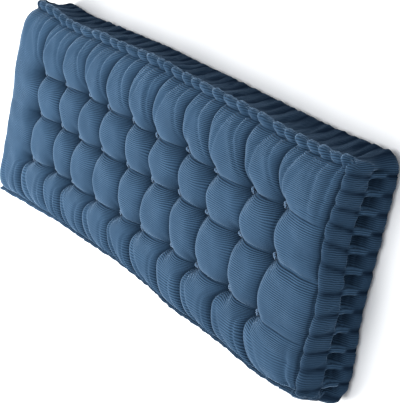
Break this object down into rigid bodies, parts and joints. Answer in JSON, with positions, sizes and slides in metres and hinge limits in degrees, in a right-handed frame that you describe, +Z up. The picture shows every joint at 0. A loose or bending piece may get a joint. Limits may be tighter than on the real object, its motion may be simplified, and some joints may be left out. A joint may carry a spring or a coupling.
{
  "type": "bench cushion",
  "caption": "Long box cushion for a bench, tufted into square puffs, with a rolled edge and side-stitched border, in ribbed corduroy.",
  "frame": {"origin": "under the middle of the cushion, on the surface that it lies on", "axes": "+X along the length, +Y across, +Z up out of the tufted face"},
  "size_m": [1.211, 0.4584, 0.125],
  "materials": {
    "corduroy": "fine-wale corduroy, matt with a soft sheen at grazing angles",
    "tie_thread": "twisted thread, matt"
  },
  "bodies": {
    "root": {"cushion": "corduroy", "tuft_tie_lower_1": "tie_thread", "tuft_tie_middle_1": "tie_thread", "tuft_tie_upper_1": "tie_thread", "tuft_tie_lower_2": "tie_thread", "tuft_tie_middle_2": "tie_thread", "tuft_tie_upper_2": "tie_thread", "tuft_tie_lower_3": "tie_thread", "tuft_tie_middle_3": "tie_thread", "tuft_tie_upper_3": "tie_thread", "tuft_tie_lower_4": "tie_thread", "tuft_tie_middle_4": "tie_thread", "tuft_tie_upper_4": "tie_thread", "tuft_tie_lower_5": "tie_thread", "tuft_tie_middle_5": "tie_thread", "tuft_tie_upper_5": "tie_thread", "tuft_tie_lower_6": "tie_thread", "tuft_tie_middle_6": "tie_thread", "tuft_tie_upper_6": "tie_thread", "tuft_tie_lower_7": "tie_thread", "tuft_tie_middle_7": "tie_thread", "tuft_tie_upper_7": "tie_thread", "tuft_tie_lower_8": "tie_thread", "tuft_tie_middle_8": "tie_thread", "tuft_tie_upper_8": "tie_thread", "tuft_tie_lower_9": "tie_thread", "tuft_tie_middle_9": "tie_thread", "tuft_tie_upper_9": "tie_thread", "tuft_tie_lower_10": "tie_thread", "tuft_tie_middle_10": "tie_thread", "tuft_tie_upper_10": "tie_thread"}
  },
  "joints": []
}
